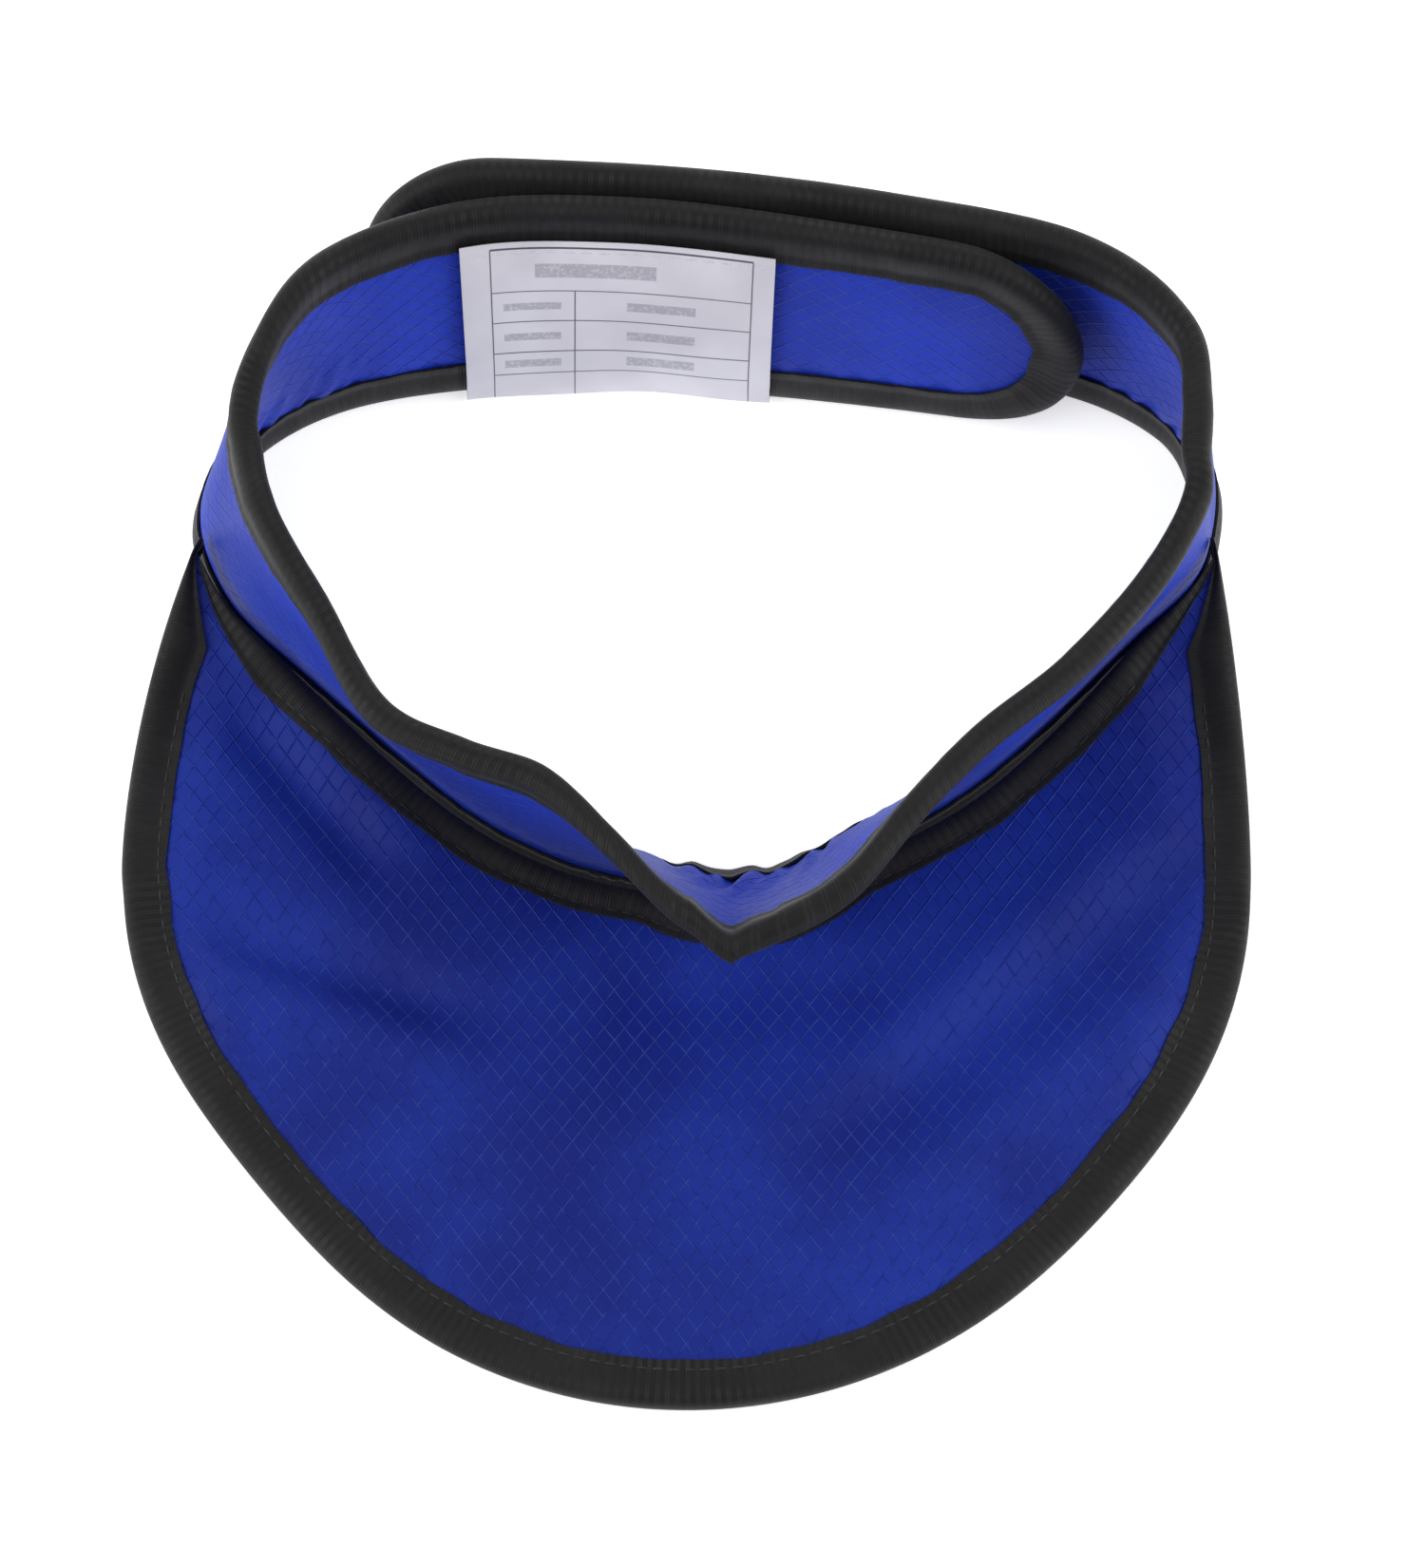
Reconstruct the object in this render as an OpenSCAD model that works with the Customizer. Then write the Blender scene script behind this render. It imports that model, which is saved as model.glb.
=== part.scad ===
// Lead collar for dental X-rays: a neck band that closes behind the neck, and a half-round bib
// sewn to the front of the band. The collar stands on a table: the bib lies flat in front (-Y),
// the band stands up around the neck opening, and its two arms overlap at the back (+Y).
// Millimetres, +Z up. The origin is on the table, at the middle of the whole collar's footprint.

/* [Neck band] */
// Height of the band, measured along its slope
band_h = 45; // [40:1:50]
// Thickness of the band and bib between their bindings
panel_t = 3; // [2.6:0.1:3]
// Thickness of one layer of cover cloth
cloth_t = 0.5; // [0.3:0.1:0.6]
// How far the lead sheets stop short of the sewn edges
lead_inset = 4; // [3:0.5:6]

/* [Bindings] */
// Width of the binding tape on each face, which is also the height of the band's upright hem
binding_w = 8; // [7:0.5:9]
// Width of the narrower binding tape on the bib's neck edge
neck_binding_w = 6; // [5:0.5:8]
// Thickness of a bound edge beyond the panel on each face
binding_t = 0.8; // [0.5:0.1:0.8]
// Distance of the stitching from the binding's outer edge
stitch_in = 6.4; // [5:0.1:6.8]
// Thickness of the sewing thread
thread_t = 0.4; // [0.3:0.1:0.4]

/* [Bib] */
// Radius of the bib's round lower edge
bib_r = 99; // [96:1:100]
// Gap between the band's hem and the bib's neck edge
neck_gap = 1.3; // [1.2:0.1:1.6]

/* [Fastening] */
// Height of the hook and loop tapes
tape_h = 20; // [15:1:24]
// Thickness of each tape
tape_t = 0.9; // [0.6:0.1:0.9]

/* [Label] */
// Width of the folded label
label_w = 54; // [40:1:54]
// Length of the folded label
label_h = 36; // [25:1:36]
// Thickness of the folded label
label_t = 1; // [0.6:0.1:1]

/* [Hidden] */
$fn = 96;

// The foot of the band, from the tip of the left arm (inner, at the back), round the left side,
// the front and the right side, to the tip of the right arm (outer, at the back).
// Each point has its place on the table, and how many degrees the band leans outwards there.
band_line = [
    [69.3, 78, 13], [43.5, 82.3, 18], [12, 86, 22], [-14, 87.5, 25], [-38, 87, 24], [-60, 83, 14],
    [-75, 75, -2], [-82, 65, -9],
    [-84, 54, -12], [-78, 41, -8], [-64, 27, 3], [-48, 12, 16], [-36, 2, 11], [-24, -5, 7],
    [-12, -9, 18], [0, -10.4, 40], [8, -10.6, 56], [16, -10.2, 44], [28, -5, 28], [46, 5, 14],
    [62, 19, 14], [78, 36, 11], [88, 46, 3],
    [91, 54, -3], [91, 65, -3], [84.5, 76.8, 5], [66, 86.2, 14], [34, 91.6, 18], [2, 94.2, 22],
    [-31, 95.3, 24], [-57, 95.8, 23]];
left_hinge_at = 8;            // places in band_line where the arms begin
right_hinge_at = 23;
last_at = len(band_line) - 1;
tip_step = 26.1;              // distance between the last two points at each arm's tip
hinge_gap = 0.02;             // half the gap at each hinge, as a share of one step of band_line
hem_h = binding_w;            // the band leans outwards above its hem
slack = 0.15;                 // room between a binding and the panel inside it
layer_gap = 0.1;              // room between the lead sheet and each cloth, and under sewn-on pieces
edge_off = panel_t / 2 + binding_t;
panel_inset = binding_t + slack;
total_t = panel_t + 2 * binding_t;
tip_r = band_h / 2;
fine = 0.25;                  // step along band_line, in points
least_row = 0.05;             // least step between two rows of points beside a round tip

// Places on the band
function control(i) =
    i < 0 ? 2 * band_line[0] - band_line[1] :
    i > last_at ? 2 * band_line[last_at] - band_line[last_at - 1] : band_line[i];
function between(a, b, c, d, t) =
    0.5 * (2 * b + (c - a) * t + (2 * a - 5 * b + 4 * c - d) * t * t + (3 * b - 3 * c + d - a) * t * t * t);
function foot(u) =
    let (i = min(floor(u), last_at - 1))
    between(control(i - 1), control(i), control(i + 1), control(i + 2), u - i);
function outward(u) =
    let (ahead = foot(min(u + 0.02, last_at)), behind = foot(max(u - 0.02, 0)), way = ahead - behind)
    [way[1], -way[0]] / norm([way[0], way[1]]);
// A point of the band: u along band_line, up its slope, and off its middle layer, outwards
function on_band(u, up, off) =
    let (p = foot(u), n = outward(u), lean = p[2],
         above = max(up - hem_h, 0),
         hem_up = min(up, hem_h),
         reach = above > 0 ? above * sin(lean) + off * cos(lean) : off,
         height = above > 0 ? hem_h + above * cos(lean) - off * sin(lean)
                            : hem_up - off * tan(lean / 2) * hem_up / hem_h)
    [p[0] + n[0] * reach, p[1] + n[1] * reach, height];

// A closed solid through rings of points, all with the same even number of points. In each ring,
// point k lies across the wall from the point as far from the ring's end. Every face is cut into
// triangles from its low corner to its high one, so neighbouring layers fit face to face.
module loft(rings) {
    count = len(rings[0]);
    sides = [for (i = [0:len(rings) - 2], k = [0:count - 1])
        let (next = (k + 1) % count, rises = rings[i][next][2] >= rings[i][k][2],
             a = i * count + k, b = i * count + next, c = b + count, d = a + count)
        each (rises ? [[a, b, c], [a, c, d]] : [[b, c, d], [b, d, a]])];
    first_end = [for (k = [0:count / 2 - 2])
        let (a = k, b = k + 1, c = count - 2 - k, d = count - 1 - k)
        each [[a, c, b], [a, d, c]]];
    last = (len(rings) - 1) * count;
    last_end = [for (f = first_end) [last + f[0], last + f[2], last + f[1]]];
    polyhedron(points = [for (ring = rings) each ring], faces = concat(sides, first_end, last_end));
}

// Steps along a stretch of band_line, ends included
function steps(from, to) = [for (i = [0:ceil((to - from) / fine)]) min(from + i * fine, to)];

// Half the height of the band beside a round tip, at a distance from the tip and inset from its edge
function half_height(from_tip, inset) =
    from_tip >= tip_r ? tip_r - inset :
    sqrt(max((tip_r - inset) * (tip_r - inset) - (tip_r - from_tip) * (tip_r - from_tip), 1));
function tip_distance(u) = min(u, last_at - u) * tip_step;

// Heights where a layer has points: all layers share them, so that they bend alike
function rows(u, inset) =
    let (half = half_height(tip_distance(u), inset),
         low = tip_r - half,
         high = tip_r + half,
         inner_rows = [hem_h, band_h - binding_w],
         between_rows = inset < lead_inset
             ? concat([lead_inset], inner_rows, [band_h - lead_inset]) : inner_rows,
         n = len(between_rows))
    concat([low],
        [for (j = [0:n - 1]) min(max(between_rows[j], low + least_row * (j + 1)), high - least_row * (n - j))],
        [high]);
function reversed(list) = [for (i = [len(list) - 1:-1:0]) list[i]];
// A layer of the band between two distances off its middle, inset from the sewn edges
module band_layer(places, inner, outer, inset) {
    loft([for (u = places)
        let (ups = rows(u, inset))
        concat([for (up = ups) on_band(u, up, inner)], [for (up = reversed(ups)) on_band(u, up, outer)])]);
}

// The section of a binding: distance in from the sewn edge, and off the middle layer
slot_half = panel_t / 2 + slack;
binding_section = concat(
    [for (in = [binding_w, lead_inset, 0]) [in, -edge_off]],
    [for (in = [0, lead_inset, binding_w]) [in, edge_off]],
    [for (in = [binding_w, lead_inset, binding_t]) [in, slot_half]],
    [for (in = [binding_t, lead_inset, binding_w]) [in, -slot_half]]);
function thread_section(side) =
    let (near = side * (edge_off + layer_gap), far = side * (edge_off + layer_gap + thread_t))
    [[stitch_in, near], [stitch_in + thread_t, near], [stitch_in + thread_t, far], [stitch_in, far]];

// One ring of an edge piece: the place on the edge, and the way in from it along the band and up
function edge_ring(section, u, up, in_along, in_up) = [
    for (p = section) on_band(u + p[0] * in_along, up + p[0] * in_up, p[1])];
// A piece that follows the band's top or hem edge
module along_edge(section, places, up, in_up) {
    loft([for (u = places) edge_ring(section, u, up, 0, in_up)]);
}
// A piece that follows an arm's hem edge, its round tip and its top edge.
// tip_at is the arm's tip on band_line, and way is 1 where the arm runs up the list from its tip
module around_arm(section, tip_at, hinge_at, way) {
    straight = [for (u = steps(tip_r / tip_step, abs(hinge_at - tip_at))) tip_at + way * u];
    turns = [for (a = [7.5:15:172.5]) a];
    rings = concat(
        [for (i = [len(straight) - 1:-1:0]) edge_ring(section, straight[i], 0, 0, 1)],
        [for (a = turns) edge_ring(section,
            tip_at + way * tip_r * (1 - sin(a)) / tip_step, tip_r * (1 - cos(a)),
            way * sin(a) / tip_step, cos(a))],
        [for (u = straight) edge_ring(section, u, band_h, 0, -1)]);
    loft(way > 0 ? rings : reversed(rings));
}

front_places = steps(left_hinge_at + hinge_gap, right_hinge_at - hinge_gap);
left_places = concat([for (d = [1, 3, 7, 12, 17]) d / tip_step],
    steps(tip_r / tip_step, left_hinge_at - hinge_gap));
right_places = concat(steps(right_hinge_at + hinge_gap, last_at - tip_r / tip_step),
    [for (d = [17, 12, 7, 3, 1]) last_at - d / tip_step]);
function inside_tips(places, inset) = [for (u = places) if (tip_distance(u) > inset + 0.5) u];

module lining_layer(places) {
    band_layer(inside_tips(places, panel_inset), -panel_t / 2, -panel_t / 2 + cloth_t, panel_inset);
}
module shell_layer(places) {
    band_layer(inside_tips(places, panel_inset), panel_t / 2 - cloth_t, panel_t / 2, panel_inset);
}
module lead_layer(places) {
    half = panel_t / 2 - cloth_t - layer_gap;
    band_layer(inside_tips(places, lead_inset), -half, half, lead_inset);
}

// Front of the band
tape_colour = [0.12, 0.12, 0.13];
module front_shell() { color("royalblue") shell_layer(front_places); }
module front_lining() { color("mediumblue") lining_layer(front_places); }
module front_lead_sheet() { color("dimgray") lead_layer(front_places); }
module front_top_binding() { color(tape_colour) along_edge(binding_section, front_places, band_h, -1); }
module front_hem_binding() { color(tape_colour) along_edge(binding_section, front_places, 0, 1); }
module front_top_thread() { color("black") along_edge(thread_section(1), front_places, band_h, -1); }
module front_hem_thread() { color("black") along_edge(thread_section(-1), front_places, 0, 1); }
// The row of stitches that sews the bib to the middle of the hem
seam_from = 13.6;
seam_to = 18.2;
seam_step = 0.3;
seam_up = 5.6;
stitch_l = 2.2;
module centre_seam_thread() {
    color("black")
        for (u = [seam_from:seam_step:seam_to])
            translate(on_band(u, seam_up, edge_off + thread_t / 2 + layer_gap))
                rotate([0, 90, atan2(outward(u)[1], outward(u)[0]) + 90])
                    cylinder(h = stitch_l, d = thread_t, center = true);
}

// Left arm, which passes inside at the back
module left_arm_shell() { color("royalblue") shell_layer(left_places); }
module left_arm_lining() { color("mediumblue") lining_layer(left_places); }
module left_arm_lead_sheet() { color("dimgray") lead_layer(left_places); }
module left_arm_binding() {
    color(tape_colour) around_arm(binding_section, 0, left_hinge_at - hinge_gap, 1);
}
module left_arm_thread() {
    color("black") around_arm(thread_section(-1), 0, left_hinge_at - hinge_gap, 1);
}

// Right arm, which passes outside at the back
module right_arm_shell() { color("royalblue") shell_layer(right_places); }
module right_arm_lining() { color("mediumblue") lining_layer(right_places); }
module right_arm_lead_sheet() { color("dimgray") lead_layer(right_places); }
module right_arm_binding() {
    color(tape_colour) around_arm(binding_section, last_at, right_hinge_at + hinge_gap, -1);
}
module right_arm_thread() {
    color("black") around_arm(thread_section(1), last_at, right_hinge_at + hinge_gap, -1);
}

// Hook and loop tapes, and the thread along each one's two long sides
tape_low = 14;
tape_row_in = 2;              // from a tape's long side to its stitching
tape_near = panel_t / 2 + layer_gap;
tape_far = panel_t / 2 + tape_t;
loop_places = [for (u = left_places) if (u > 0.6 && u < 3.3) u];
hook_places = [for (u = right_places) if (u > last_at - 3.3 && u < last_at - 0.6) u];
module tape_slab(places, inner, outer) {
    loft([for (u = places)
        [on_band(u, tape_low, inner), on_band(u, tape_low + tape_h, inner),
         on_band(u, tape_low + tape_h, outer), on_band(u, tape_low, outer)]]);
}
module tape_stitches(places, inner, outer) {
    for (up = [tape_low + tape_row_in, tape_low + tape_h - tape_row_in])
        loft([for (u = places)
            [on_band(u, up, inner), on_band(u, up + thread_t, inner),
             on_band(u, up + thread_t, outer), on_band(u, up, outer)]]);
}
module loop_tape() { color([0.16, 0.16, 0.17]) tape_slab(loop_places, tape_near, tape_far); }
module loop_tape_thread() {
    color("black") tape_stitches(loop_places, tape_far + layer_gap / 2, tape_far + thread_t / 2);
}
module hook_tape() { color([0.10, 0.10, 0.11]) tape_slab(hook_places, -tape_far, -tape_near); }
module hook_tape_thread() {
    color("black") tape_stitches(hook_places, -tape_far - thread_t / 2, -tape_far - layer_gap / 2);
}

// Label: one strip folded double, held at its top edge below the left arm's top binding. It is
// flat, and stands off the hollow inner face of the arm by as much as its two ends need
label_at = 2.92;              // middle of the label on band_line
label_top = band_h - binding_w - 0.4;
label_gap = 0.9;
label_thread_in = 1.4;        // from the label's top edge to the stitches behind it
stitch_step = 3.2;
function beyond(u) = (foot(label_at) - foot(u)) * [outward(label_at)[0], outward(label_at)[1], 0];
label_hollow = max(beyond(label_at - label_w / 2 / tip_step), beyond(label_at + label_w / 2 / tip_step));
label_off = -edge_off - layer_gap - thread_t - label_gap - label_hollow - label_t / 2;
label_lean = foot(label_at)[2];
label_turn = atan2(outward(label_at)[1], outward(label_at)[0]) - 90;
module label() {
    color("lavender")
        translate(on_band(label_at, label_top, label_off))
            rotate([0, 0, label_turn])
                rotate([-label_lean, 0, 0]) {
                    translate([-label_w / 2, -label_t / 2, label_t / 2 - label_h])
                        cube([label_w, label_t, label_h - label_t / 2]);
                    translate([0, 0, label_t / 2 - label_h])
                        rotate([0, 90, 0])
                            cylinder(h = label_w, d = label_t, center = true);
                }
}
module label_thread() {
    count = floor(label_w / stitch_step);
    color("white")
        for (i = [0:count - 1])
            let (u = label_at + (i - (count - 1) / 2) * stitch_step / tip_step)
            translate(on_band(u, label_top - label_thread_in, -panel_t / 2 - layer_gap - thread_t / 2))
                rotate([0, 90, atan2(outward(u)[1], outward(u)[0]) + 90])
                    cylinder(h = stitch_l, d = thread_t, center = true);
}

// Bib: its outline is a half circle below, with two horns that run up beside the band
bib_y = -12;                  // the circle's centre, in front of the middle of the footprint
horn_y = 52.5;                // where the horns end
right_horn_x = 94.5;
left_horn_x = -87.2;
function horn_r(tip_x) =
    let (rise = horn_y - bib_y, drift = bib_r - abs(tip_x))
    (rise * rise + drift * drift) / (2 * drift);
module horn_side(tip_x, inset) {
    r = horn_r(tip_x);
    translate([sign(tip_x) * (bib_r - r), bib_y]) circle(r = r - inset, $fn = 360);
}
module bib_outer(inset) {
    intersection() {
        union() {
            translate([0, bib_y]) circle(r = bib_r - inset);
            translate([-bib_r, bib_y]) square([2 * bib_r, bib_r]);
        }
        horn_side(right_horn_x, inset);
        horn_side(left_horn_x, inset);
        translate([-bib_r, bib_y - bib_r]) square([2 * bib_r, bib_r + horn_y - bib_y - inset]);
    }
}
// The neck hole follows the hem, at a distance from it
module neck_hole(inset) {
    off = edge_off + neck_gap + inset;
    edge = [for (u = steps(left_hinge_at - 0.5, right_hinge_at + 0.5))
        let (p = foot(u), n = outward(u)) [p[0] + n[0] * off, p[1] + n[1] * off]];
    polygon(concat(edge, [[60, 80], [-60, 80]]));
}
module bib_outline(inset) {
    difference() {
        bib_outer(inset);
        neck_hole(inset);
    }
}
module slab(low, high) { translate([0, 0, low]) linear_extrude(height = high - low) children(); }
module bib_shell() {
    color("royalblue") slab(total_t - binding_t - cloth_t, total_t - binding_t) bib_outline(binding_t);
}
module bib_lining() { color("mediumblue") slab(binding_t, binding_t + cloth_t) bib_outline(binding_t); }
module bib_lead_sheet() {
    low = binding_t + cloth_t + layer_gap;
    color("dimgray") slab(low, total_t - low) bib_outline(lead_inset);
}
// A rim of the bib at its full thickness, with a slot for the panel
module bib_binding() {
    difference() {
        slab(0, total_t) children();
        slab(binding_t, total_t - binding_t) bib_outline(binding_t);
    }
}
module bib_edge_binding() {
    color(tape_colour) bib_binding() difference() {
        bib_outline(0);
        bib_outer(binding_w);
    }
}
module bib_neck_binding() {
    color(tape_colour) bib_binding() intersection() {
        bib_outer(binding_w);
        difference() {
            neck_hole(neck_binding_w);
            neck_hole(0);
        }
    }
}
// Stitching stands a little proud of the bib's upper face
module bib_thread() {
    color("black") slab(total_t, total_t + thread_t / 2) children();
}
module bib_edge_thread() {
    bib_thread() difference() {
        bib_outer(stitch_in);
        bib_outer(stitch_in + thread_t);
        neck_hole(neck_binding_w);
    }
}
module bib_neck_thread() {
    neck_stitch_in = neck_binding_w - (binding_w - stitch_in);
    bib_thread() intersection() {
        bib_outer(binding_w);
        difference() {
            neck_hole(neck_stitch_in + thread_t);
            neck_hole(neck_stitch_in);
        }
    }
}

front_shell();
front_lining();
front_lead_sheet();
front_top_binding();
front_hem_binding();
front_top_thread();
front_hem_thread();
centre_seam_thread();
left_arm_shell();
left_arm_lining();
left_arm_lead_sheet();
left_arm_binding();
left_arm_thread();
loop_tape();
loop_tape_thread();
label_thread();
label();
right_arm_shell();
right_arm_lining();
right_arm_lead_sheet();
right_arm_binding();
right_arm_thread();
hook_tape();
hook_tape_thread();
bib_shell();
bib_lining();
bib_lead_sheet();
bib_edge_binding();
bib_neck_binding();
bib_edge_thread();
bib_neck_thread();
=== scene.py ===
"""The looks of the lead collar: cover cloth, linings, bindings, stitching, tapes and label.

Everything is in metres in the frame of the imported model: the collar stands on the floor, the bib
lies in front of it (-Y), and the band's two arms overlap at the back (+Y).
"""

import math

import bmesh
import bpy
import numpy as np
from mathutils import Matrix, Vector


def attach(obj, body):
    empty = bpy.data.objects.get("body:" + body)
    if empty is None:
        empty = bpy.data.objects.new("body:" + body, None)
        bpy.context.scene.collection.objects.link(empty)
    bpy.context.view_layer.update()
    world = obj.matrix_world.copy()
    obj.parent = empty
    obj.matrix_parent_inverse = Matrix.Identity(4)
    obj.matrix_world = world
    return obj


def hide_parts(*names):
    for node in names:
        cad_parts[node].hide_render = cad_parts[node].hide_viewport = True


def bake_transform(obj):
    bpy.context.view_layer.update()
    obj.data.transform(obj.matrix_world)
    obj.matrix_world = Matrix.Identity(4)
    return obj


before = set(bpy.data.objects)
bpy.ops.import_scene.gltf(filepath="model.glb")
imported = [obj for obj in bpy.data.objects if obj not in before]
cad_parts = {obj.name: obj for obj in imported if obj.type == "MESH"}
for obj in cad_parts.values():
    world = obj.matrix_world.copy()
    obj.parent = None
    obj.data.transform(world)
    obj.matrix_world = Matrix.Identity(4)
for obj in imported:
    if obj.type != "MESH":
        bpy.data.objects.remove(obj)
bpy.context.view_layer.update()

MM = 0.001
PER_MM = 1000             # turns metres into millimetres in materials
BAND_H = 45 * MM          # height of the band, up its slope
TIP_R = BAND_H / 2        # radius of the band's round tips
BEND = (2 * MM, 16 * MM)  # the band turns from upright to its full lean between these heights
VISOR_START = 16 * MM     # how much earlier the lean begins over the V
VISOR_EASE = 0.25         # how much less it leans at the top there
NECK_CLEAR = 3.2 * MM     # room that the bib's neck edge leaves for the visor
BIB_MID = 2.3 * MM        # height of the bib's middle layer above the floor
BIB_R = 99 * MM           # radius of the bib's round edge
BIB_CENTRE_Y = -12 * MM
HORN_Y = 50 * MM          # where the bib's two horns end
RIGHT_HORN_X = 92.8 * MM
LEFT_HORN_X = -85.6 * MM
NECK_OFF = 3.6 * MM       # from the middle of the band to the bib's neck edge
NECK_STOP = 3 * MM        # the neck edge's binding stops this far short of the horns' tips
TAPE_W = 8 * MM           # width of a binding on each face
NECK_TAPE_W = 6.5 * MM    # width of the bib's neck binding
TAPE_T = 0.45 * MM        # thickness of the binding tape
HEM_SAVED = 0.45          # how much narrower the hem's tape is outside, along the bib
STITCH_IN = 6.4 * MM      # from a sewn edge to its stitching
STITCH_PITCH = 3 * MM
CLOTH_T = 0.35 * MM

# The foot of the band from the left arm's tip round the front to the right arm's tip:
# x and y in millimetres, and how many degrees the band leans outwards there.
BAND_LINE = np.array([
    [69.3, 78, 13], [43.5, 82.3, 18], [12, 86, 22], [-14, 87.5, 25], [-38, 87, 24], [-60, 83, 14],
    [-75, 75, -2], [-82, 65, -9],
    [-84, 54, -12], [-78, 41, -8], [-64, 27, 3], [-48, 12, 16], [-36, 2, 11], [-24, -5, 7],
    [-12, -9, 18], [0, -10.4, 40], [8, -10.6, 56], [16, -10.2, 44], [28, -5, 28], [46, 5, 14],
    [62, 19, 14], [78, 36, 11], [88, 46, 3],
    [91, 54, -3], [91, 65, -3], [84.5, 76.8, 5], [66, 86.2, 14], [34, 91.6, 18], [2, 94.2, 22],
    [-31, 95.3, 24], [-57, 95.8, 23]])
V_AT = 16                 # place in BAND_LINE of the tip of the V, where the halves meet
LEFT_HINGE_AT = 8
RIGHT_HINGE_AT = 23


# ---------------------------------------------------------------- numbers and curves

def smoothstep(x, low=0.0, high=1.0):
    t = np.clip((x - low) / (high - low), 0, 1)
    return t * t * (3 - 2 * t)


def waves(x, length, seed):
    """Smooth irregular waves from -1 to 1 along x, about as long as length."""
    rng = np.random.default_rng(seed)
    out = np.zeros_like(np.asarray(x, float))
    for stretch, share in ((1.0, 0.5), (0.63, 0.3), (0.41, 0.2)):
        phase = rng.uniform(0, 2 * math.pi)
        bend = rng.uniform(0, 2 * math.pi)
        out += share * np.sin(2 * math.pi * x / (length * stretch) + phase
                              + 1.3 * np.sin(2 * math.pi * x / (length * 3.7) + bend))
    return out


def bump_at(x, centre, width):
    return np.exp(-((x - centre) / width) ** 2)


def line_table():
    """Dense points of the band's foot, with their distance along it from the left arm's tip."""
    last = len(BAND_LINE) - 1
    u = np.linspace(0, last, last * 80 + 1)
    i = np.minimum(u.astype(int), last - 1)
    t = (u - i)[:, None]
    points = np.vstack([2 * BAND_LINE[0] - BAND_LINE[1], BAND_LINE,
                        2 * BAND_LINE[-1] - BAND_LINE[-2]])
    a, b, c, d = (points[i + k] for k in range(4))
    p = 0.5 * (2 * b + (c - a) * t + (2 * a - 5 * b + 4 * c - d) * t ** 2
               + (3 * b - 3 * c + d - a) * t ** 3)
    xy = p[:, :2] * MM
    s = np.concatenate([[0], np.cumsum(np.linalg.norm(np.diff(xy, axis=0), axis=1))])
    way = np.gradient(xy, s, axis=0)
    way /= np.linalg.norm(way, axis=1)[:, None]
    return {"u": u, "s": s, "x": xy[:, 0], "y": xy[:, 1], "lean": np.radians(p[:, 2]),
            "nx": way[:, 1], "ny": -way[:, 0]}


LINE = line_table()
BAND_L = LINE["s"][-1]


def along(s, column):
    return np.interp(s, LINE["s"], LINE[column])


def s_at(u):
    return float(np.interp(u, LINE["u"], LINE["s"]))


V_S = s_at(V_AT)


# ---------------------------------------------------------------- the band

def visor(lean):
    """1 where the band leans out as a visor over the V, and 0 where it stands up."""
    return smoothstep(lean, math.radians(22), math.radians(48))


def slope(lean, up):
    """How far out and how high a point is, up the band's curved slope, and the slope's angle.

    Over the V the band leans from its very foot, and elsewhere its hem stands up.
    """
    steps = 24
    start = BEND[0] - VISOR_START * visor(lean)
    top_lean = lean * (1 - VISOR_EASE * visor(lean))
    reach = np.zeros_like(up)
    height = np.zeros_like(up)
    for k in range(steps):
        angle = top_lean * smoothstep(up * (k + 0.5) / steps, start, BEND[1])
        reach += np.sin(angle) * up / steps
        height += np.cos(angle) * up / steps
    return reach, height, top_lean * smoothstep(up, start, BEND[1])


def sway(s, up):
    """Slow unevenness of the band, outwards: most near the top at the back, and low in the visor."""
    rise = smoothstep(up, 0.25 * BAND_H, BAND_H)
    low = np.exp(-((up - 7 * MM) / (7 * MM)) ** 2) * visor(along(s, "lean"))
    back = smoothstep(np.abs(s - V_S), 0.06, 0.1) * smoothstep(along(s, "y"), 0.09, 0.07)
    return rise * back * 0.5 * MM * waves(s, 0.055, 5) - low * 0.9 * MM * (1 + waves(s, 0.012, 9))


def wall(s, up, off):
    """Points of the band: s along its foot, up its slope, and off its middle layer, outwards."""
    s, up, off = np.broadcast_arrays(*(np.asarray(v, float) for v in (s, up, off)))
    reach, height, angle = slope(along(s, "lean"), up)
    off = off + sway(s, up)
    out = reach + off * np.cos(angle)
    return np.stack([along(s, "x") + along(s, "nx") * out,
                     along(s, "y") + along(s, "ny") * out,
                     height - off * np.sin(angle)], axis=-1)


def edge_distance(s, up):
    """How far a place on the band is in from its nearest sewn edge."""
    from_tip = np.minimum(s, BAND_L - s)
    straight = np.minimum(up, BAND_H - up)
    round_tip = TIP_R - np.hypot(TIP_R - from_tip, up - TIP_R)
    return np.where(from_tip < TIP_R, round_tip, straight)


def puff(inside, s, side):
    """Half the panel's thickness: pinched at the stitching, full in the middle, with puckers."""
    past = np.maximum(inside - STITCH_IN, 0)
    full = 1.22 * MM + 0.5 * MM * (1 - np.exp(-past / (3 * MM)))
    deep = 0.30 * MM if side < 0 else 0.16 * MM
    near = np.exp(-past / (6 * MM)) * smoothstep(past, 0, 2.5 * MM)
    return full + deep * near * waves(s, 13 * MM, 11 + side)


# ---------------------------------------------------------------- the bib

def horn_radius(tip_x):
    rise = HORN_Y - BIB_CENTRE_Y
    drift = BIB_R - abs(tip_x)
    return (rise ** 2 + drift ** 2) / (2 * drift)


def rim_radius(turn):
    """The bib's radius at an angle from straight ahead, in degrees, positive to the right."""
    return MM * (97.9 + 1.0 * np.cos(np.radians(4 * turn)) - 3.4 * bump_at(turn, -55, 22)
                 - 1.4 * bump_at(turn, 52, 18))


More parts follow.
